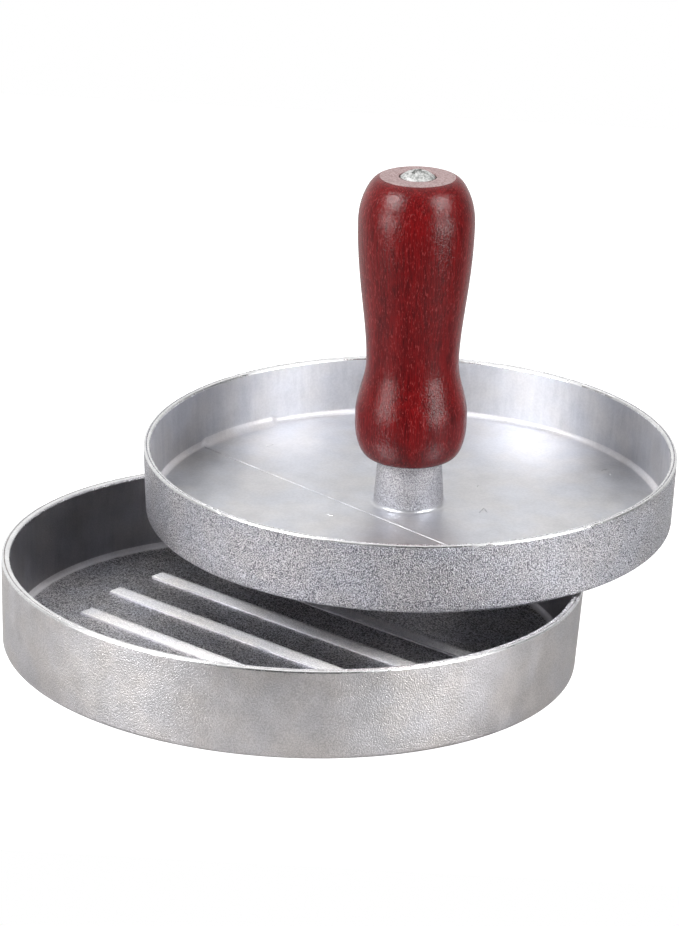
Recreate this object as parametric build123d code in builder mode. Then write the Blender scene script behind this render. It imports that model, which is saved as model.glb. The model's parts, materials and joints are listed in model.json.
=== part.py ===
from build123d import *
from math import atan, cos, degrees, hypot, radians, sin, tan
import os

# Burger press of the 4.5 inch size: a cast dish with low bars on its floor, and
# a cast plunger with a turned wooden handle. The plunger lies off centre on the
# dish's rim, as it is put down between two patties.
# Millimetres, +Z up, origin at the centre of the dish's underside.

# Dish
dish_radius = 60.0
dish_height = 18.4
dish_wall = 1.8
dish_floor = 1.3
dish_corner = 1.1

# Press plate, a shallow pan that fits inside the dish
plate_clearance = 1.2
plate_height = 14.8
plate_wall = 1.4
plate_floor = 1.6
plate_corner = 1.1

# Both castings
draft_angle = 2.0
rim_outer_round = 0.4
rim_inner_round = 0.6
base_round = 0.7

# Bars that mark the patty, on the dish's floor and under the plate
bar_count = 4
bar_pitch = 13.15
bar_width = 4.1
bar_end_margin = 13.3
bar_taper = 12.0
dish_bar_height = 0.4
dish_bar_direction = -39.0
dish_bar_shift = -1.3
press_bar_height = 0.8
press_bar_direction = -99.0

# Fine flash line across the plate's floor, beside the boss
flash_place = -11.6
flash_width = 0.45
flash_height = 0.18

# Boss that carries the handle
boss_height = 10.9
boss_top_radius = 6.8
boss_root_radius = 7.6
boss_root_round = 0.9
boss_edge_round = 0.3

# Turned handle: heights are from its lower end, drops from its upper end
handle_length = 61.6
foot_radius = 11.95
foot_height = 9.4
foot_round = 3.05
foot_corner_height = 3.0
foot_corner_ease = 0.65
waist_radius = 9.85
waist_height = 21.0
grip_fullness = 0.15
head_radius = 12.25
head_drop = 10.1
shoulder_round = 4.65
shoulder_drop = 3.4
shoulder_ease = 1.35

# Handle bolt and its lock washer
bolt_radius = 2.0
bolt_head_radius = 3.65
bolt_head_side = 1.7
bolt_head_dome = 1.5
bolt_head_set_down = 0.1
bolt_tip_chamfer = 0.5
recess_width = 0.9
recess_length = 3.8
recess_depth = 1.5
washer_thickness = 0.9
washer_split = 0.9
washer_split_angle = 70.0

# Clearances
head_clearance = 0.3
bolt_clearance = 0.25
thread_clearance = 0.05
washer_clearance = 0.1
tip_clearance = 1.0
rim_gap = 0.15

# Where the plunger lies: its centre, as a distance and a bearing from the dish's
plunger_offset = 40.4
plunger_bearing = 54.0

# Sizes that follow
draft = tan(radians(draft_angle))
dish_rim_inner = dish_radius - dish_wall
plate_radius = dish_rim_inner - plate_clearance
plate_base_radius = plate_radius - plate_height * draft
bar_field_radius = plate_base_radius - bar_end_margin
boss_top = plate_floor + boss_height
handle_top = boss_top + handle_length
counterbore_depth = washer_thickness + bolt_head_side + bolt_head_set_down
counterbore_radius = bolt_head_radius + head_clearance
washer_seat = handle_top - counterbore_depth
head_seat = washer_seat + washer_thickness
bar_places = [(index - (bar_count - 1) / 2) * bar_pitch for index in range(bar_count)]


def bar_half_length(place):
    """Half the length of the bar this far from the middle: the ends lie on a circle."""
    return (bar_field_radius**2 - place**2) ** 0.5


# The plate's lower edge and the outermost bars under it both meet the rim, so
# the height of those bars over the run between the two contacts is the lean.
outer_bar = bar_places[-1]
bar_corner_radius = hypot(outer_bar + bar_width / 2, bar_half_length(outer_bar))
contact_run = (plate_base_radius**2 - bar_corner_radius**2) / (2 * plunger_offset)
lean_slope = press_bar_height / contact_run
edge_contact = (dish_rim_inner**2 - plate_base_radius**2 + plunger_offset**2) / (2 * plunger_offset)
plunger_height = dish_height + rim_gap + lean_slope * (plunger_offset - edge_contact)
lean_angle = degrees(atan(lean_slope))

bearing = radians(plunger_bearing)
plunger_centre = (plunger_offset * cos(bearing), plunger_offset * sin(bearing), plunger_height)
uphill = Vector(cos(radians(lean_angle)), 0, sin(radians(lean_angle))).rotate(Axis.Z, plunger_bearing)
upright = Vector(-sin(radians(lean_angle)), 0, cos(radians(lean_angle))).rotate(Axis.Z, plunger_bearing)
dish_base = Plane.XY
plunger_base = Plane(origin=plunger_centre, x_dir=uphill, z_dir=upright)


def turned(base, angle):
    """The same plane, turned about its own normal."""
    return Plane(base.location * Location((0, 0, 0), (0, 0, angle)))


def section_of(base):
    """Plane through the axis of a turned piece: x out from the axis, y up along it."""
    return Plane(origin=base.origin, x_dir=base.x_dir, z_dir=-base.y_dir)


def axis_of(base):
    return Axis(base.origin, base.z_dir)


def round_corner(place, radius):
    fillet(vertices().sort_by_distance(place)[0], radius)


def draw_pan(rim_radius, height, wall, floor, corner, boss=()):
    """Half section of a drafted pan; boss gives the outline of a boss on its floor."""
    base_radius = rim_radius - height * draft
    rim_inner = rim_radius - wall
    floor_radius = rim_inner - (height - floor) * draft
    outline = [(0, 0), (base_radius, 0), (rim_radius, height), (rim_inner, height), (floor_radius, floor)]
    centre = list(boss) or [(0, floor)]
    with BuildLine() as section:
        Polyline(*outline, *centre, close=True)
    make_face(section.edges())
    round_corner((base_radius, 0), base_round)
    round_corner((rim_radius, height), rim_outer_round)
    round_corner((rim_inner, height), rim_inner_round)
    round_corner((floor_radius, floor), corner)


def draw_bars(shift=0.0):
    """The bars of one face, along x and side by side along y."""
    for place in bar_places:
        with Locations((0, place + shift)):
            Rectangle(2 * bar_half_length(place), bar_width)


with BuildPart() as dish:
    with BuildSketch(section_of(dish_base)):
        draw_pan(dish_radius, dish_height, dish_wall, dish_floor, dish_corner)
    revolve(axis=axis_of(dish_base))
    with BuildSketch(turned(dish_base.offset(dish_floor), dish_bar_direction)):
        draw_bars(dish_bar_shift)
    extrude(amount=dish_bar_height, taper=bar_taper)

with BuildPart() as press_plate:
    with BuildSketch(section_of(plunger_base)):
        boss_outline = [
            (boss_root_radius, plate_floor),
            (boss_top_radius, boss_top),
            (0, boss_top),
        ]
        draw_pan(plate_radius, plate_height, plate_wall, plate_floor, plate_corner, boss_outline)
        round_corner((boss_root_radius, plate_floor), boss_root_round)
        round_corner((boss_top_radius, boss_top), boss_edge_round)
    revolve(axis=axis_of(plunger_base))
    bar_plane = turned(plunger_base, press_bar_direction)
    with BuildSketch(bar_plane):
        draw_bars()
    extrude(amount=-press_bar_height, taper=bar_taper)
    # The flash line runs from wall to wall.
    floor_radius = plate_radius - plate_wall - (plate_height - plate_floor) * draft
    flash_half_length = (floor_radius**2 - flash_place**2) ** 0.5
    with BuildSketch(bar_plane.offset(plate_floor)):
        with Locations((0, flash_place)):
            Rectangle(2 * flash_half_length, flash_width)
    extrude(amount=flash_height)
    with Locations(plunger_base.offset(boss_top)):
        Hole(bolt_radius + thread_clearance, depth=boss_height)

with BuildPart() as handle:
    foot_end = (foot_radius - foot_round, 0)
    foot_corner = (foot_radius - foot_corner_ease, foot_corner_height)
    foot = (foot_radius, foot_height)
    waist = (waist_radius, waist_height)
    head = (head_radius, handle_length - head_drop)
    grip = ((waist_radius + head_radius) / 2 + grip_fullness, (waist[1] + head[1]) / 2)
    shoulder = (head_radius - shoulder_ease, handle_length - shoulder_drop)
    crown = (head_radius - shoulder_round, handle_length)
    with BuildSketch(section_of(plunger_base.offset(boss_top))):
        with BuildLine():
            Spline(foot_end, foot_corner, foot, tangents=[(1, 0.1), (0, 1)])
            Spline(foot, waist, tangents=[(0, 1), (0, 1)])
            Spline(waist, grip, head, tangents=[(0, 1), (0, 1)])
            Spline(head, shoulder, crown, tangents=[(0, 1), (-1, 0.15)])
            Polyline(crown, (0, handle_length), (0, 0), foot_end)
        make_face()
    revolve(axis=axis_of(plunger_base))
    with Locations(plunger_base.offset(handle_top)):
        CounterBoreHole(bolt_radius + bolt_clearance, counterbore_radius, counterbore_depth)

with BuildPart() as handle_bolt:
    with BuildSketch(section_of(plunger_base)):
        tip = plate_floor + tip_clearance
        head_edge = head_seat + bolt_head_side
        with BuildLine():
            dome_start = Polyline(
                (0, tip),
                (bolt_radius - bolt_tip_chamfer, tip),
                (bolt_radius, tip + bolt_tip_chamfer),
                (bolt_radius, head_seat),
                (bolt_head_radius, head_seat),
                (bolt_head_radius, head_edge),
            )
            RadiusArc(
                (bolt_head_radius, head_edge),
                (0, head_edge + bolt_head_dome),
                -(bolt_head_radius**2 + bolt_head_dome**2) / (2 * bolt_head_dome),
            )
            Line((0, head_edge + bolt_head_dome), (0, tip))
        make_face()
    revolve(axis=axis_of(plunger_base))
    with BuildSketch(plunger_base.offset(head_edge + bolt_head_dome)):
        Rectangle(recess_length, recess_width)
        Rectangle(recess_width, recess_length)
    extrude(amount=-recess_depth, mode=Mode.SUBTRACT)

with BuildPart() as lock_washer:
    with BuildSketch(plunger_base.offset(washer_seat)):
        Circle(bolt_head_radius)
        Circle(bolt_radius + washer_clearance, mode=Mode.SUBTRACT)
        with PolarLocations(bolt_head_radius, 1, start_angle=washer_split_angle):
            Rectangle(2 * bolt_head_radius, washer_split, mode=Mode.SUBTRACT)
    extrude(amount=washer_thickness)

pieces = {
    "dish": dish,
    "press_plate": press_plate,
    "handle": handle,
    "handle_bolt": handle_bolt,
    "lock_washer": lock_washer,
}
os.makedirs("parts", exist_ok=True)
for name, piece in pieces.items():
    piece.part.label = name
    export_step(piece.part, f"parts/{name}.step")

print("lean", round(lean_angle, 3), "plunger centre", [round(value, 3) for value in plunger_centre])
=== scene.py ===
import json
import math

import bpy
import numpy as np
from mathutils import Matrix, Vector


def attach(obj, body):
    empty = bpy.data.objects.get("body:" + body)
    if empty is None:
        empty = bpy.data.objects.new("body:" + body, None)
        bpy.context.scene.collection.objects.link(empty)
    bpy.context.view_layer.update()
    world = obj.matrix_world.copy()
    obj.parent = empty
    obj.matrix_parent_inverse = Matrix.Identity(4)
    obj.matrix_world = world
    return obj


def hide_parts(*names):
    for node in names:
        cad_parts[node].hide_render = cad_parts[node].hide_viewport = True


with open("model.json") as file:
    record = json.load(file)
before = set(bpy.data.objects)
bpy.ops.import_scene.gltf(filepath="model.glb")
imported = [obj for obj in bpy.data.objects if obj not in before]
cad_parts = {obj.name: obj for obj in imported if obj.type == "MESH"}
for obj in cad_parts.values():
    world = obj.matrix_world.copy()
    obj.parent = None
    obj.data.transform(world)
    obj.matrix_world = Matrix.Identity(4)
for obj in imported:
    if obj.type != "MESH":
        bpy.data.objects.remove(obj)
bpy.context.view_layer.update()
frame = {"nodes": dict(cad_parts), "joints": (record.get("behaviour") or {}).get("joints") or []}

# Looks of a cast burger press: the dish, the pan-shaped press plate and its
# turned wooden handle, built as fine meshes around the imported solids.
# Its sizes are in millimetres until a mesh is made, and the studio's in metres;
# angles are in degrees.

MM = 0.001
random = np.random.default_rng(7)

# Sizes of the solids that these meshes follow
DISH_RADIUS, DISH_HEIGHT, DISH_WALL, DISH_FLOOR, DISH_CORNER = 60.0, 18.4, 1.8, 1.3, 1.1
PLATE_RADIUS, PLATE_HEIGHT, PLATE_WALL, PLATE_FLOOR, PLATE_CORNER = 57.0, 14.8, 1.4, 1.6, 1.1
DRAFT = math.tan(math.radians(2.0))
RIM_OUTER_ROUND, RIM_INNER_ROUND, BASE_ROUND = 0.4, 0.6, 0.7
BOSS_TOP, BOSS_TOP_RADIUS, BOSS_ROOT_RADIUS = 12.5, 6.8, 7.6
BOSS_ROOT_ROUND, BOSS_EDGE_ROUND, BOSS_BORE = 0.9, 0.3, 2.05
BAR_COUNT, BAR_PITCH, BAR_WIDTH = 4, 13.15, 4.1
BAR_FIELD_RADIUS = PLATE_RADIUS - PLATE_HEIGHT * DRAFT - 13.3
DISH_BAR_HEIGHT, DISH_BAR_DIRECTION, DISH_BAR_SHIFT = 0.4, -39.0, -1.3
PRESS_BAR_HEIGHT, PRESS_BAR_DIRECTION = 0.8, -99.0
FLASH_PLACE, FLASH_WIDTH, FLASH_HEIGHT = -11.6, 0.45, 0.18
HANDLE_LENGTH = 61.6
FOOT_END, FOOT_CORNER, FOOT = (8.9, 0), (11.3, 3.0), (11.95, 9.4)
WAIST, HEAD = (9.85, 21.0), (12.25, HANDLE_LENGTH - 10.1)
GRIP = ((WAIST[0] + HEAD[0]) / 2 + 0.15, (WAIST[1] + HEAD[1]) / 2)
SHOULDER, CROWN = (10.9, HANDLE_LENGTH - 3.4), (7.6, HANDLE_LENGTH)
BORE, COUNTERBORE, COUNTERBORE_DEPTH = 2.25, 3.95, 2.7

# A fine groove along each rim, left by the lathe, and nicks from use
RIM_LAND, GROOVE_WIDTH, GROOVE_DEPTH = 0.5, 0.26, 0.18
DISH_NICKS, PLATE_NICKS = 60, 90

# Where the plate's inner round is filled up: bearing, half the sweep, place of
# the swell at each end, and radius
FULLER_BEARING, FULLER_HALF_SWEEP, FULLER_SWELL, FULLER_ROUND = 81.3, 11.3, 10.9, 2.1

# Small burrs on the plate's floor: x, y, half length and direction of each
BURR_WIDTH, BURR_HEIGHT = 0.24, 0.07
BURRS = [
    (16.6, -6.7, 0.35, 20.0),
    (-9.0, 21.2, 0.5, -60.0),
    (7.1, 43.6, 0.9, -30.0),
    (-17.4, 8.0, 1.0, -84.0),
    (5.4, -15.4, 1.4, 15.0),
    (6.0, -16.1, 1.2, 47.0),
    (41.3, -25.0, 0.8, 40.0),
    (42.5, -22.7, 0.7, -25.0),
]

# Steps of the meshes: segments round a casting and round the handle, points in
# a rounded corner, spacing of the rings between corners, narrow strip beside a
# corner that keeps its shading crisp, and spacing of the points along a bar
CASTING_SEGMENTS, HANDLE_SEGMENTS = 900, 240
CORNER_POINTS, RING_SPACING, CRISP_STRIP, BAR_SPACING = 7, 1.6, 0.12, 0.5

# A bar's sides go on below the surface that it stands on: how deep, how much wider
BAR_SINK, BAR_SINK_SPREAD = 0.3, 0.02

# The plunger stands along its own turning axis, with its x axis uphill.
turning = next(joint for joint in frame["joints"] if joint["name"] == "plunger_turn")
upright = Vector(turning["axis"]).normalized()
uphill = Vector((-upright.x, -upright.y, 0)).normalized()
uphill = (uphill - upright * uphill.dot(upright)).normalized()
plunger_axes = Matrix((uphill, upright.cross(uphill), upright)).transposed().to_4x4()
PLUNGER = Matrix.Translation(Vector(turning["pos_m"])) @ plunger_axes


# Outlines
def rounded(corners):
    """Outline through corners (r, z, round, zone), each corner rounded.

    Returns its points and, for each stretch between two points, its zone. A
    round belongs to its corner's zone, and so does the straight after it,
    unless the corner names a second zone for that.
    """
    ends = []
    for index, (r, z, radius, *_) in enumerate(corners):
        here = np.array((r, z))
        if radius == 0:
            ends.append([here])
            continue
        back = np.array(corners[index - 1][:2]) - here
        ahead = np.array(corners[index + 1][:2]) - here
        back, ahead = back / np.linalg.norm(back), ahead / np.linalg.norm(ahead)
        half = math.acos(np.clip(back @ ahead, -1, 1)) / 2
        centre = here + (back + ahead) / np.linalg.norm(back + ahead) * radius / math.sin(half)
        first = here + back * radius / math.tan(half) - centre
        last = here + ahead * radius / math.tan(half) - centre
        sweep = math.pi - 2 * half
        ends.append([
            centre + (first * math.sin((1 - t) * sweep) + last * math.sin(t * sweep)) / math.sin(sweep)
            for t in np.linspace(0, 1, CORNER_POINTS)
        ])
    points, zones = [], []
    for index, arc in enumerate(ends):
        points += arc
        zones += [corners[index][3]] * (len(arc) - 1)
        if index + 1 < len(ends):
            start, stop = arc[-1], ends[index + 1][0]
            run = np.linalg.norm(stop - start)
            strip = min(CRISP_STRIP, run / 4)
            inner = max(2, int(run / RING_SPACING) + 1)
            places = np.concatenate(([strip], np.linspace(0, run, inner + 1)[1:-1], [run - strip]))
            points += [start + (stop - start) * place / run for place in places]
            zones += [corners[index][-1]] * (len(places) + 1)
    return np.array(points), zones


def soft_noise(angles, waves, count):
    """Smooth closed noise round a circle, from about -1 to 1, out of count waves."""
    total = np.zeros_like(angles)
    for wave in random.integers(waves[0], waves[1], count):
        total += np.cos(wave * angles + random.uniform(0, 2 * math.pi))
    return total / math.sqrt(count)


# Meshes
def make_object(name, build, materials, place=None):
    """Mesh object from a build; place gives the frame that its points are in."""
    mesh = bpy.data.meshes.new(name)
    points = np.asarray(build.points) * MM
    if place is not None:
        points = points @ np.array(place.to_3x3()).T + np.array(place.translation)
    mesh.from_pydata(points.tolist(), [], build.faces)
    for material in materials:
        mesh.materials.append(material)
    mesh.polygons.foreach_set("material_index", build.slots)
    mesh.polygons.foreach_set("use_smooth", [True] * len(build.faces))
    mesh.update()
    piece = bpy.data.objects.new(name, mesh)
    bpy.context.collection.objects.link(piece)
    return piece


class Build:
    """Gathers one piece's points in millimetres, and its faces with a slot for each."""

    def __init__(self):
        self.points, self.faces, self.slots = [], [], []

    def add(self, points, faces, slots):
        start = len(self.points)
        self.points += [tuple(point) for point in points]
        self.faces += [tuple(start + index for index in face) for face in faces]
        self.slots += list(slots)

    def turn(self, radii, heights, angles, slots):
        """Turned skin from a grid of radii and heights; an end on the axis is closed."""
        rings, count = radii.shape
        points = np.stack([radii * np.cos(angles), radii * np.sin(angles), heights], -1).reshape(-1, 3)
        faces, finishes = [], []
        for ring in range(rings - 1):
            low, high = ring * count, (ring + 1) * count
            for step in range(count):
                after = (step + 1) % count
                if radii[ring].max() < 1e-6:
                    face = (low, high + after, high + step)
                elif radii[ring + 1].max() < 1e-6:
                    face = (low + step, low + after, high)
                else:
                    face = (low + step, low + after, high + after, high + step)
                faces.append(face)
                finishes.append(slots[ring])
        self.add(points, faces, finishes)

    def bar(
        self,
        half_length,
        place,
        width,
        height,
        direction,
        base,
        slots,
        ragged,
        up=1,
        draft=0.2,
        edge=0.12,
        start=0.0,
    ):
        """Raised bar with bevelled top edges, on the surface at base.

        It lies place millimetres beside the axis and start along itself. slots
        are its top's and its sides', bevels included. up is -1 on an underside.
        """
        count = max(8, int(half_length * 2 / BAR_SPACING))
        along = np.linspace(start - half_length, start + half_length, count)
        half = width / 2
        shoulder = half - draft
        steps = [
            (-half - BAR_SINK_SPREAD, -BAR_SINK),
            (-half, 0.0),
            (-shoulder, height - edge),
            (-shoulder + edge, height),
            (-half / 3, height),
        ]
        steps += [(-side, tall) for side, tall in reversed(steps)]
        flat_rows = range(3, 6)
        rows = []
        for side, tall in steps:
            wobble = np.zeros(count)
            if abs(side) > half / 2:
                wobble = np.convolve(random.normal(0, ragged, count + 4), np.ones(5) / 5, "valid")
            rows.append(np.stack([along, place + side + wobble, np.full(count, tall)], -1))
        grid = np.array(rows)
        # The ends lean in as the sides do.
        lift = np.clip(grid[:, :, 2] / height, 0, 1) * draft
        grid[:, 0, 0] += lift[:, 0]
        grid[:, -1, 0] -= lift[:, -1]
        grid[:, 1, 0] = np.maximum(grid[:, 1, 0], grid[:, 0, 0] + edge)
        grid[:, -2, 0] = np.minimum(grid[:, -2, 0], grid[:, -1, 0] - edge)
        turn_angle = math.radians(direction)
        x = grid[..., 0] * math.cos(turn_angle) - grid[..., 1] * math.sin(turn_angle)
        y = grid[..., 0] * math.sin(turn_angle) + grid[..., 1] * math.cos(turn_angle)
        points = np.stack([x, y, base + up * grid[..., 2]], -1).reshape(-1, 3)
        faces, finishes = [], []
        for row in range(len(steps) - 1):
            for step in range(count - 1):
                low, high = row * count + step, (row + 1) * count + step
                face = (low, low + 1, high + 1, high)
                faces.append(face[::-1] if up > 0 else face)
                finishes.append(slots[0] if row in flat_rows else slots[1])
        for end in (0, count - 1):
            loop = [row * count + end for row in range(len(steps))]
            faces.append(tuple(loop if (end == 0) != (up > 0) else loop[::-1]))
            finishes.append(slots[1])
        self.add(points, faces, finishes)


def bar_places():
    """Each marking bar's distance from the middle of its face, and half its length."""
    for index in range(BAR_COUNT):
        place = (index - (BAR_COUNT - 1) / 2) * BAR_PITCH
        yield place, math.sqrt(BAR_FIELD_RADIUS**2 - place**2)


# Finishes
class Finish:
    """A material's nodes, with short ways to add what the finishes share."""

    def __init__(self, name, place=None, **sockets):
        self.material = bpy.data.materials.new(name)
        self.material.use_nodes = True
        self.tree = self.material.node_tree
        self.shader = self.tree.nodes["Principled BSDF"]
        for socket, value in sockets.items():
            self.shader.inputs[socket.replace("_", " ")].default_value = value
        self.place = self.node("ShaderNodeTexCoord").outputs["Object"]
        if place is not None:
            inputs = {0: self.place, 1: place.translation, 2: place.to_euler()}
            self.place = self.node("ShaderNodeMapping", inputs, vector_type="TEXTURE").outputs[0]

    def node(self, kind, inputs=(), **settings):
        made = self.tree.nodes.new(kind)
        for key, value in settings.items():
            setattr(made, key, value)
        for key, value in dict(inputs).items():
            if isinstance(value, bpy.types.NodeSocket):
                self.tree.links.new(value, made.inputs[key])
            else:
                made.inputs[key].default_value = value
        return made

    def stretched(self, factors):
        return self.node("ShaderNodeMapping", {0: self.place, 3: factors}).outputs[0]

    def noise(self, size, detail=2.0, rough=0.5, stretch=None, shift=0.0):
        """Noise whose grains are about size millimetres; stretch draws them out."""
        place = self.place if stretch is None else self.stretched(stretch)
        scale = 1 / (size * MM)
        inputs = {"Vector": place, "Scale": scale, "Detail": detail, "Roughness": rough, "W": shift}
        return self.node("ShaderNodeTexNoise", inputs, noise_dimensions="4D").outputs["Fac"]

    def rings(self, size, detail=2.0):
        """Noise that changes with the distance from the axis alone."""
        flat = self.node("ShaderNodeVectorMath", {0: self.place, 1: (1, 1, 0)}, operation="MULTIPLY")
        far = self.node("ShaderNodeVectorMath", {0: flat.outputs[0]}, operation="LENGTH")
        inputs = {"W": far.outputs["Value"], "Scale": 1 / (size * MM), "Detail": detail}
        return self.node("ShaderNodeTexNoise", inputs, noise_dimensions="1D").outputs["Fac"]

    def math(self, operation, first, second=0.0, third=0.0):
        return self.node("ShaderNodeMath", {0: first, 1: second, 2: third}, operation=operation).outputs[0]

    def between(self, factor, low, high, start=0.3, end=0.7):
        """Number that goes from low to high while factor goes from start to end."""
        inputs = {"Value": factor, "From Min": start, "From Max": end, "To Min": low, "To Max": high}
        return self.node("ShaderNodeMapRange", inputs).outputs["Result"]

    def blend(self, factor, first, second, mode="MIX"):
        made = self.node("ShaderNodeMix", {0: factor}, data_type="RGBA", blend_type=mode)
        for socket, value in ((made.inputs[6], first), (made.inputs[7], second)):
            if isinstance(value, bpy.types.NodeSocket):
                self.tree.links.new(value, socket)
            else:
                socket.default_value = (*value, 1)
        return made.outputs[2]

    def bump(self, height, depth, below=None):
        """Bump of depth millimetres for a height from 0 to 1."""
        inputs = {"Height": height, "Distance": depth * MM, "Strength": 1.0}
        if below is not None:
            inputs["Normal"] = below
        return self.node("ShaderNodeBump", inputs).outputs[0]

    def join(self, **links):
        for socket, value in links.items():
            self.tree.links.new(value, self.shader.inputs[socket.replace("_", " ")])
        return self.material


def cast_metal(name, dark, light, rough, grain, depth, speck, metallic=1.0, place=None, smear=0.0):
    """Blasted casting: grains of that size and depth over soft blotches.

    speck is the grains' share in the colour; smear draws the blotches down.
    """
    finish = Finish(name, place, Metallic=metallic)
    fine = finish.noise(grain, detail=1.5, rough=0.6)
    soft = finish.noise(5.0, detail=3.0)
    drawn = finish.noise(1.2, detail=3.0, stretch=(1, 1, 0.12), shift=6.0)
    mixed = finish.math("MULTIPLY_ADD", drawn, smear, finish.math("MULTIPLY", soft, 1 - smear))
    blotch = finish.between(mixed, 0.0, 1.0, 0.32, 0.68)
    fleck = finish.between(fine, 0.0, 1.0, 0.42, 0.58)
    shade = finish.math("MULTIPLY_ADD", fleck, speck, finish.math("MULTIPLY", blotch, 1 - speck))
    hue = finish.between(finish.noise(9.0, detail=2.0, shift=2.0), 0.0, 1.0, 0.38, 0.62)
    tint = finish.blend(hue, (1.0, 0.975, 0.96), (0.975, 0.975, 1.0))
    colour = finish.blend(1.0, finish.blend(shade, dark, light), tint, "MULTIPLY")
    roughness = finish.between(soft, rough - 0.05, rough + 0.05)
    swell = finish.bump(soft, 0.03)
    return finish.join(Base_Color=colour, Roughness=roughness, Normal=finish.bump(fine, depth, swell))


dish_outside = cast_metal(
    "dish_outside",
    (0.41, 0.40, 0.40),
    (0.62, 0.602, 0.605),
    rough=0.375,
    grain=0.28,
    depth=0.13,
    speck=0.60,
)
dish_inside = cast_metal(
    "dish_inside",
    (0.36, 0.36, 0.38),
    (0.50, 0.50, 0.52),
    rough=0.38,
    grain=0.35,
    depth=0.04,
    speck=0.3,
    smear=0.4,
)
dish_ground = cast_metal(
    "dish_ground",
    (0.11, 0.11, 0.12),
    (0.92, 0.92, 0.95),
    rough=0.33,
    grain=0.28,
    depth=0.27,
    speck=0.91,
)
# The dish's floor round: a lighter, mostly diffuse copy of the inside metal, a painted highlight along the
# round.
dish_fillet_painted_highlight = cast_metal(
    "dish_fillet_painted_highlight",
    (0.60, 0.60, 0.62),
    (0.76, 0.76, 0.78),
    rough=0.40,
    grain=0.36,
    depth=0.04,
    speck=0.4,
    metallic=0.35,
)
# The dish's bar tops: paler milled metal, and also painted near-white and wholly diffuse, a painted sheen
# that keeps them bright in the plate's shade.
dish_bars_milled_and_painted_light = cast_metal(
    "dish_bars_milled_and_painted_light",
    (0.66, 0.66, 0.67),
    (1.0, 1.0, 1.0),
    rough=0.40,
    grain=0.27,
    depth=0.22,
    speck=0.90,
    metallic=0.0,
)
press_bars = cast_metal(
    "press_bars",
    (0.55, 0.55, 0.56),
    (0.75, 0.75, 0.75),
    rough=0.38,
    grain=0.36,
    depth=0.06,
    speck=0.5,
    place=PLUNGER,
)
plate_outside = cast_metal(
    "plate_outside",
    (0.10, 0.10, 0.12),
    (0.80, 0.80, 0.83),
    rough=0.40,
    grain=0.21,
    depth=0.24,
    speck=0.94,
    place=PLUNGER,
)
plate_wall = cast_metal(
    "plate_wall",
    (0.43, 0.44, 0.47),
    (0.59, 0.60, 0.62),
    rough=0.50,
    grain=0.5,
    depth=0.02,
    speck=0.2,
    metallic=0.9,
    place=PLUNGER,
    smear=0.35,
)
plate_ground = cast_metal(
    "plate_ground",
    (0.55, 0.56, 0.58),
    (0.67, 0.68, 0.70),
    rough=0.38,
    grain=0.6,
    depth=0.02,
    speck=0.3,
    metallic=0.9,
    place=PLUNGER,
)
# The plate's floor round: a lighter, mostly diffuse copy of the floor metal, a painted highlight along the
# round.
plate_fillet_painted_highlight = cast_metal(
    "plate_fillet_painted_highlight",
    (0.54, 0.54, 0.56),
    (0.68, 0.68, 0.70),
    rough=0.40,
    grain=0.5,
    depth=0.03,
    speck=0.3,
    metallic=0.3,
    place=PLUNGER,
)
boss_side = cast_metal(
    "boss_side",
    (0.26, 0.26, 0.28),
    (0.66, 0.66, 0.68),
    rough=0.58,
    grain=0.24,
    depth=0.20,
    speck=0.85,
    metallic=0.9,
    place=PLUNGER,
)


def turned_metal(name, place=None):
    """Bright rim, cut on a lathe: fine rings and a few dull spots."""
    finish = Finish(name, place, Metallic=1.0)
    cut = finish.rings(0.12)
    soft = finish.noise(2.5, detail=3.0)
    colour = finish.blend(finish.between(soft, 0.0, 1.0), (0.72, 0.72, 0.73), (0.92, 0.92, 0.92))
    return finish.join(
        Base_Color=colour,
        Roughness=finish.between(soft, 0.34, 0.22),
        Normal=finish.bump(finish.noise(0.5), 0.012, finish.bump(cut, 0.006)),
    )


dish_rim = turned_metal("dish_rim")
plate_rim = turned_metal("plate_rim", PLUNGER)


def lacquered_wood():
    """Red-brown gloss lacquer over fine grain that runs along the handle."""
    finish = Finish(
        "handle_lacquer",
        PLUNGER,
        Coat_Weight=0.55,
        Coat_Roughness=0.08,
        Coat_IOR=1.45,
        Specular_IOR_Level=0.05,
    )
    streaks = finish.noise(0.34, detail=3.0, rough=0.65, stretch=(1, 1, 0.08))
    bands = finish.noise(3.0, detail=2.0, stretch=(1, 1, 0.15), shift=3.0)
    pores = finish.noise(0.22, detail=1.5, rough=0.6, stretch=(1, 1, 0.22), shift=8.0)
    pore_and_painted_glint = finish.between(pores, 0.0, 1.0, 0.58, 0.72)
    drawn = finish.math("MULTIPLY_ADD", streaks, 0.7, finish.math("MULTIPLY", bands, 0.3))
    tone = finish.between(drawn, 0.0, 1.0, 0.35, 0.65)
    red = finish.blend(tone, (0.036, 0.001, 0.0015), (0.155, 0.005, 0.006))
    # Pale specks: pores in the grain, and also painted glints of the coat.
    colour = finish.blend(pore_and_painted_glint, red, (0.23, 0.030, 0.030))
    dimple = finish.between(finish.noise(0.5, detail=2.0, rough=0.75, shift=5.0), 0.0, 1.0, 0.35, 0.65)
    coat = finish.bump(dimple, 0.038, finish.bump(streaks, 0.018))
    return finish.join(
        Base_Color=colour,
        Roughness=finish.between(streaks, 0.55, 0.42),
        Normal=finish.bump(pore_and_painted_glint, -0.02),
        Coat_Normal=coat,
    )


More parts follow.
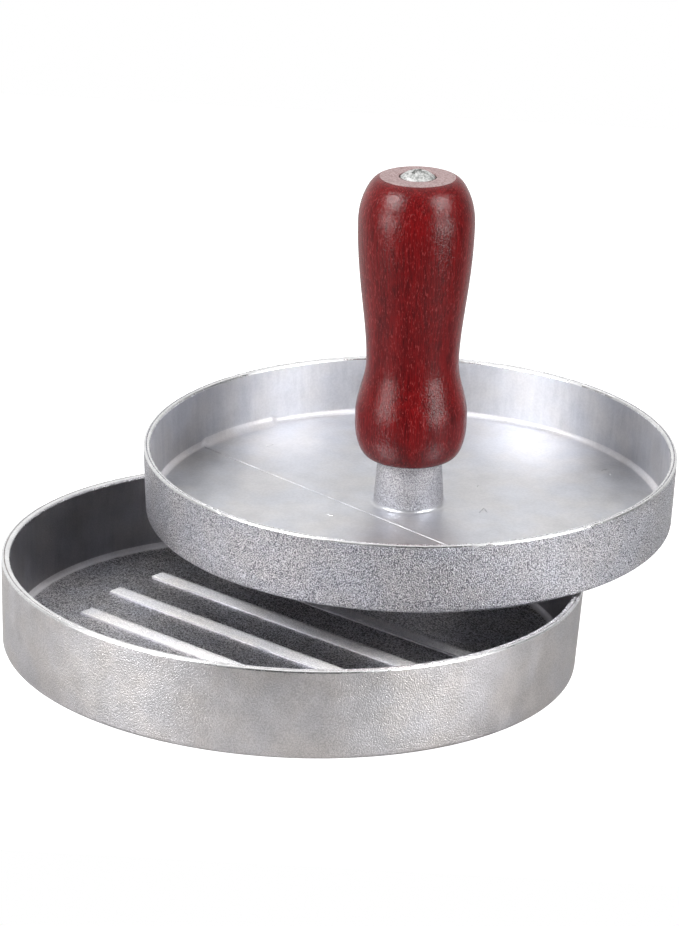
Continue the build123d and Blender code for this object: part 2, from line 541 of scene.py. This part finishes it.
def end_grain_with_painted_reflection():
    """The handle's cut top, with pores end on: its pale pinkish tone is partly the end grain and partly a
    painted reflection of the white backdrop.
    """
    finish = Finish("handle_end", PLUNGER, Coat_Weight=0.3, Coat_Roughness=0.30)
    pores = finish.noise(0.35, detail=2.0, stretch=(1, 1, 0.2))
    tone = finish.between(pores, 0.0, 1.0, 0.35, 0.65)
    # Pale tone: end grain, and a painted reflection of the white backdrop.
    colour = finish.blend(tone, (0.16, 0.085, 0.085), (0.34, 0.235, 0.23))
    return finish.join(
        Base_Color=colour,
        Roughness=finish.between(pores, 0.6, 0.45),
        Normal=finish.bump(pores, 0.02),
    )


def plated_steel(name, dark, light, rough):
    """Bright plating with worn, mottled spots."""
    finish = Finish(name, PLUNGER, Metallic=1.0)
    spots = finish.noise(0.6, detail=3.0, rough=0.65)
    fine = finish.noise(0.3, detail=2.0, shift=4.0)
    colour = finish.blend(finish.between(spots, 0.0, 1.0, 0.4, 0.6), dark, light)
    return finish.join(
        Base_Color=colour,
        Roughness=finish.between(spots, rough + 0.1, rough),
        Normal=finish.bump(fine, 0.03, finish.bump(spots, 0.15)),
    )


# Castings
round_angles = np.linspace(0, 2 * math.pi, CASTING_SEGMENTS, endpoint=False)
OUTSIDE, RIM, INSIDE, GROUND, FILLET, TOPS, BOSS = range(7)


def pan_corners(radius, height, wall, floor, corner):
    """Outline of a drafted pan from the axis below to the floor's middle."""
    base = radius - height * DRAFT
    inner = radius - wall
    floor_radius = inner - (height - floor) * DRAFT
    return [
        (0, 0, 0, OUTSIDE),
        (base, 0, BASE_ROUND, OUTSIDE),
        (radius, height, RIM_OUTER_ROUND, RIM),
        (radius - RIM_LAND, height, 0, RIM, OUTSIDE),
        (radius - RIM_LAND - GROOVE_WIDTH / 2, height - GROOVE_DEPTH, 0, OUTSIDE),
        (radius - RIM_LAND - GROOVE_WIDTH, height, 0, RIM),
        (inner, height, RIM_INNER_ROUND, RIM, INSIDE),
        (floor_radius, floor, corner, FILLET, GROUND),
    ]


def wear_rim(radii, heights, radius, height, wall, nicks):
    """Wears both edges of a rim: a slight unevenness, and nicks of differing depth."""
    ragged = soft_noise(round_angles, (60, 320), 60)
    near_top = np.clip(1 - (height - heights) / 0.5, 0, 1)
    heights -= near_top * 0.012 * (1 + np.clip(ragged, -1, 1))
    for edge in (radius, radius - wall):
        for place, wide, deep in zip(
            random.uniform(0, 2 * math.pi, nicks),
            random.uniform(0.3, 1.1, nicks) / radius,
            random.uniform(0.05, 0.22, nicks) ** 1.5 * 0.6,
        ):
            away = (round_angles - place + math.pi) % (2 * math.pi) - math.pi
            dip = np.exp(-((away / wide) ** 2)) * deep
            close = np.exp(-(((radii - edge) ** 2 + (heights - height) ** 2) / 0.5**2))
            inward = 1 if edge < radius - wall / 2 else -1
            heights -= dip * close
            radii += inward * dip * close * 0.6
    return radii, heights


# Dish
dish = Build()
dish_corners = pan_corners(DISH_RADIUS, DISH_HEIGHT, DISH_WALL, DISH_FLOOR, DISH_CORNER)
outline, zones = rounded(dish_corners + [(0, DISH_FLOOR, 0, GROUND)])
radii = np.repeat(outline[:, :1], CASTING_SEGMENTS, 1)
heights = np.repeat(outline[:, 1:], CASTING_SEGMENTS, 1)
radii, heights = wear_rim(radii, heights, DISH_RADIUS, DISH_HEIGHT, DISH_WALL, DISH_NICKS)
dish.turn(radii, heights, round_angles, zones)
for place, half_length in bar_places():
    dish.bar(
        half_length,
        place + DISH_BAR_SHIFT,
        BAR_WIDTH,
        DISH_BAR_HEIGHT,
        DISH_BAR_DIRECTION,
        DISH_FLOOR,
        (TOPS, INSIDE),
        ragged=0.02,
        draft=0.08,
    )
dish_piece = make_object(
    "dish_casting",
    dish,
    [dish_outside, dish_rim, dish_inside, dish_ground, dish_fillet_painted_highlight, dish_bars_milled_and_painted_light],
)
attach(dish_piece, "dish")
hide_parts("dish")

# Press plate
plate = Build()
boss_corners = [
    (BOSS_ROOT_RADIUS, PLATE_FLOOR, BOSS_ROOT_ROUND, GROUND, BOSS),
    (BOSS_TOP_RADIUS, BOSS_TOP, BOSS_EDGE_ROUND, BOSS),
    (BOSS_BORE, BOSS_TOP, 0, BOSS),
    (BOSS_BORE, PLATE_FLOOR, 0, BOSS),
    (0, PLATE_FLOOR, 0, BOSS),
]
plate_corners = pan_corners(PLATE_RADIUS, PLATE_HEIGHT, PLATE_WALL, PLATE_FLOOR, PLATE_CORNER)
outline, zones = rounded(plate_corners + boss_corners)
filled_corners = pan_corners(PLATE_RADIUS, PLATE_HEIGHT, PLATE_WALL, PLATE_FLOOR, FULLER_ROUND)
fuller, _ = rounded(filled_corners + boss_corners)
# The fuller round ends within a degree, with a small swell at each end.
bearing = math.radians(FULLER_BEARING)
far = np.degrees(np.abs((round_angles - bearing + math.pi) % (2 * math.pi) - math.pi))
swell = 0.3 * np.exp(-(((far - FULLER_SWELL) / 0.5) ** 2))
share = 1 / (1 + np.exp((far - FULLER_HALF_SWEEP) / 0.35)) + swell
# The fuller outline has two rings fewer, so the other one stops short of the
# middle too, at the bottom of the bore, inside the boss.
rings = min(len(outline), len(fuller))
radii = outline[:rings, :1] * (1 - share) + fuller[:rings, :1] * share
heights = outline[:rings, 1:] * (1 - share) + fuller[:rings, 1:] * share
radii, heights = wear_rim(radii, heights, PLATE_RADIUS, PLATE_HEIGHT, PLATE_WALL, PLATE_NICKS)
plate.turn(radii, heights, round_angles, zones)
for place, half_length in bar_places():
    plate.bar(
        half_length,
        place,
        BAR_WIDTH,
        PRESS_BAR_HEIGHT,
        PRESS_BAR_DIRECTION,
        0,
        (TOPS, OUTSIDE),
        ragged=0.04,
        up=-1,
    )
floor_radius = PLATE_RADIUS - PLATE_WALL - (PLATE_HEIGHT - PLATE_FLOOR) * DRAFT
plate.bar(
    math.sqrt(floor_radius**2 - FLASH_PLACE**2) - 1.0,
    FLASH_PLACE,
    FLASH_WIDTH,
    FLASH_HEIGHT,
    PRESS_BAR_DIRECTION,
    PLATE_FLOOR,
    (GROUND, GROUND),
    ragged=0.03,
    draft=0.08,
    edge=0.06,
)
for x, y, half_length, direction in BURRS:
    angle = math.radians(direction)
    plate.bar(
        half_length,
        y * math.cos(angle) - x * math.sin(angle),
        BURR_WIDTH,
        BURR_HEIGHT,
        direction,
        PLATE_FLOOR,
        (GROUND, GROUND),
        ragged=0.05,
        draft=0.05,
        edge=0.03,
        start=x * math.cos(angle) + y * math.sin(angle),
    )
plate_piece = make_object(
    "plate_casting",
    plate,
    [plate_outside, plate_rim, plate_wall, plate_ground, plate_fillet_painted_highlight, press_bars, boss_side],
    PLUNGER,
)
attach(plate_piece, "plunger")
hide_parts("press_plate")


# Handle
def spline(points, start, end, count):
    """Smooth curve through points with given end directions, as (r, z) points."""
    points = np.array(points, float)
    lengths = np.linalg.norm(np.diff(points, axis=0), axis=1)
    knots = np.concatenate(([0], np.cumsum(lengths)))
    size = len(points)
    matrix, right = np.zeros((size, size)), np.zeros((size, 2))
    matrix[0, 0] = matrix[-1, -1] = 1
    right[0] = np.array(start) / np.linalg.norm(start)
    right[-1] = np.array(end) / np.linalg.norm(end)
    for i in range(1, size - 1):
        a, b = lengths[i - 1], lengths[i]
        matrix[i, i - 1 : i + 2] = b, 2 * (a + b), a
        right[i] = 3 * (b * (points[i] - points[i - 1]) / a + a * (points[i + 1] - points[i]) / b)
    slopes = np.linalg.solve(matrix, right)
    made = []
    for place in np.linspace(0, knots[-1], count):
        i = min(np.searchsorted(knots, place, "right") - 1, size - 2)
        h = lengths[i]
        t = (place - knots[i]) / h
        made.append(
            (2 * t**3 - 3 * t**2 + 1) * points[i]
            + (t**3 - 2 * t**2 + t) * h * slopes[i]
            + (3 * t**2 - 2 * t**3) * points[i + 1]
            + (t**3 - t**2) * h * slopes[i + 1]
        )
    return np.array(made)


side = np.concatenate([
    [(BORE, 0.0), (5.0, 0.0), (8.7, 0.0)],
    spline([FOOT_END, FOOT_CORNER, FOOT], (1, 0.1), (0, 1), 24),
    spline([FOOT, WAIST], (0, 1), (0, 1), 26)[1:],
    spline([WAIST, GRIP, HEAD], (0, 1), (0, 1), 44)[1:],
    spline([HEAD, SHOULDER, CROWN], (0, 1), (-1, 0.15), 34)[1:],
])
top_and_bore = [
    (7.4, HANDLE_LENGTH),
    (5.5, HANDLE_LENGTH),
    (4.5, HANDLE_LENGTH),
    (COUNTERBORE + 0.12, HANDLE_LENGTH),
    (COUNTERBORE + 0.03, HANDLE_LENGTH - 0.04),
    (COUNTERBORE, HANDLE_LENGTH - 0.15),
    (COUNTERBORE, HANDLE_LENGTH - COUNTERBORE_DEPTH),
    (BORE, HANDLE_LENGTH - COUNTERBORE_DEPTH),
    (BORE, 0.0),
]
handle_outline = np.concatenate([side, top_and_bore])
LACQUER, END_GRAIN = range(2)
END_GRAIN_RADIUS = 7.9
lacquered = [z < HANDLE_LENGTH / 2 or r > END_GRAIN_RADIUS for r, z in side[1:]]
handle_slots = [LACQUER if coated else END_GRAIN for coated in lacquered]
handle_slots += [END_GRAIN] * len(top_and_bore)
handle = Build()
handle.turn(
    np.repeat(handle_outline[:, :1], HANDLE_SEGMENTS, 1),
    np.repeat(handle_outline[:, 1:], HANDLE_SEGMENTS, 1) + BOSS_TOP,
    np.linspace(0, 2 * math.pi, HANDLE_SEGMENTS, endpoint=False),
    handle_slots,
)
handle_piece = make_object("handle_wood", handle, [lacquered_wood(), end_grain_with_painted_reflection()], PLUNGER)
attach(handle_piece, "plunger")
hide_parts("handle")

# Bolt and washer keep their solids.
for node, material in (
    ("handle_bolt", plated_steel("bolt_plating", (0.34, 0.35, 0.34), (0.76, 0.76, 0.75), 0.46)),
    ("lock_washer", plated_steel("washer_plating", (0.4, 0.4, 0.4), (0.65, 0.65, 0.66), 0.35)),
):
    for material_slot in frame["nodes"][node].material_slots:
        material_slot.material = material


# Studio
LIT_SPOT = Vector((0.01, 0.01, 0.03))


def softbox(name, azimuth, height, distance, width, tall, power):
    """Area light at an azimuth from the camera's side, aimed at the object."""
    lamp = bpy.data.lights.new(name, "AREA")
    lamp.shape = "ELLIPSE"
    lamp.size, lamp.size_y, lamp.energy = width, tall, power
    box = bpy.data.objects.new(name, lamp)
    bpy.context.collection.objects.link(box)
    box.visible_camera = False
    angle = math.radians(azimuth)
    box.location = (distance * math.sin(angle), -distance * math.cos(angle), height)
    box.rotation_euler = (box.location - LIT_SPOT).to_track_quat("Z", "Y").to_euler()


softbox("softbox_left", -62, 0.51, 0.63, 0.34, 0.28, 7.2)
softbox("softbox_right", 62, 0.50, 0.64, 0.34, 0.28, 5.2)
softbox("low_left", -58, 0.06, 0.62, 0.36, 0.20, 2.0)
softbox("low_right", 58, 0.06, 0.62, 0.36, 0.20, 2.0)
softbox("softbox_above", 180, 0.95, 0.15, 1.5, 1.5, 4.2)


def soft_room(front, back):
    """White room, as bright as front at the camera's side and as back behind the object.

    The camera itself sees plain white.
    """
    world = bpy.data.worlds.new("studio")
    world.use_nodes = True
    bpy.context.scene.world = world
    tree = world.node_tree
    ground = tree.nodes["Background"]
    way = tree.nodes.new("ShaderNodeTexCoord")
    ahead = tree.nodes.new("ShaderNodeVectorMath")
    ahead.operation = "DOT_PRODUCT"
    tree.links.new(way.outputs["Generated"], ahead.inputs[0])
    ahead.inputs[1].default_value = (-0.2, 1.0, 0.0)
    light = tree.nodes.new("ShaderNodeMapRange")
    tree.links.new(ahead.outputs["Value"], light.inputs["Value"])
    for socket, value in (("From Min", 0.0), ("From Max", 0.95), ("To Min", front), ("To Max", back)):
        light.inputs[socket].default_value = value
    seen = tree.nodes.new("ShaderNodeLightPath")
    strength = tree.nodes.new("ShaderNodeMath")
    strength.operation = "MAXIMUM"
    tree.links.new(light.outputs["Result"], strength.inputs[0])
    tree.links.new(seen.outputs["Is Camera Ray"], strength.inputs[1])
    tree.links.new(strength.outputs[0], ground.inputs["Strength"])
    ground.inputs["Color"].default_value = (1, 1, 1, 1)


soft_room(front=0.04, back=1.0)

TABLE_FRONT, TABLE_BACK, TABLE_SIDE = -0.105, 0.5, 0.16
floor_mesh = bpy.data.meshes.new("studio_floor")
floor_mesh.from_pydata(
    [
        (-TABLE_SIDE, TABLE_FRONT, 0),
        (TABLE_SIDE, TABLE_FRONT, 0),
        (TABLE_SIDE, TABLE_BACK, 0),
        (-TABLE_SIDE, TABLE_BACK, 0),
    ],
    [],
    [(0, 1, 2, 3)],
)
studio_floor = bpy.data.objects.new("studio_floor", floor_mesh)
bpy.context.collection.objects.link(studio_floor)
floor_finish = Finish("lit_table", Roughness=0.9, Specular_IOR_Level=0.0)
floor_finish.shader.inputs["Emission Color"].default_value = (1, 1, 1, 1)
glow = floor_finish.node("ShaderNodeLightPath").outputs["Is Camera Ray"]
floor_finish.join(Emission_Strength=floor_finish.math("MULTIPLY_ADD", glow, 0.88, 0.06))
cloud = floor_finish.between(floor_finish.noise(60.0), 0.0, 1.0)
paper = floor_finish.blend(cloud, (0.42, 0.42, 0.42), (0.45, 0.45, 0.45))
floor_mesh.materials.append(floor_finish.join(Base_Color=paper))

# The camera stands where the photograph's did, with its slight roll.
CAMERA_PLACE = (0.008427, -0.62842, 0.254323)
CAMERA_ELEVATION, CAMERA_ROLL, CAMERA_LENS = 18.84, 3.07, 126.44
camera_data = bpy.data.cameras.new("camera")
camera_data.sensor_width = 36.0
camera_data.lens = CAMERA_LENS
camera_data.clip_start, camera_data.clip_end = 0.05, 20.0
camera = bpy.data.objects.new("camera", camera_data)
bpy.context.collection.objects.link(camera)
elevation, roll = math.radians(CAMERA_ELEVATION), math.radians(CAMERA_ROLL)
ahead = Vector((0, math.cos(elevation), -math.sin(elevation)))
level_up = Vector((1, 0, 0)).cross(ahead)
right = math.cos(roll) * Vector((1, 0, 0)) + math.sin(roll) * level_up
above = math.cos(roll) * level_up - math.sin(roll) * Vector((1, 0, 0))
camera_axes = Matrix((right, above, -ahead)).transposed().to_4x4()
camera.matrix_world = Matrix.Translation(CAMERA_PLACE) @ camera_axes
bpy.context.scene.camera = camera
bpy.context.scene.view_settings.view_transform = "Standard"
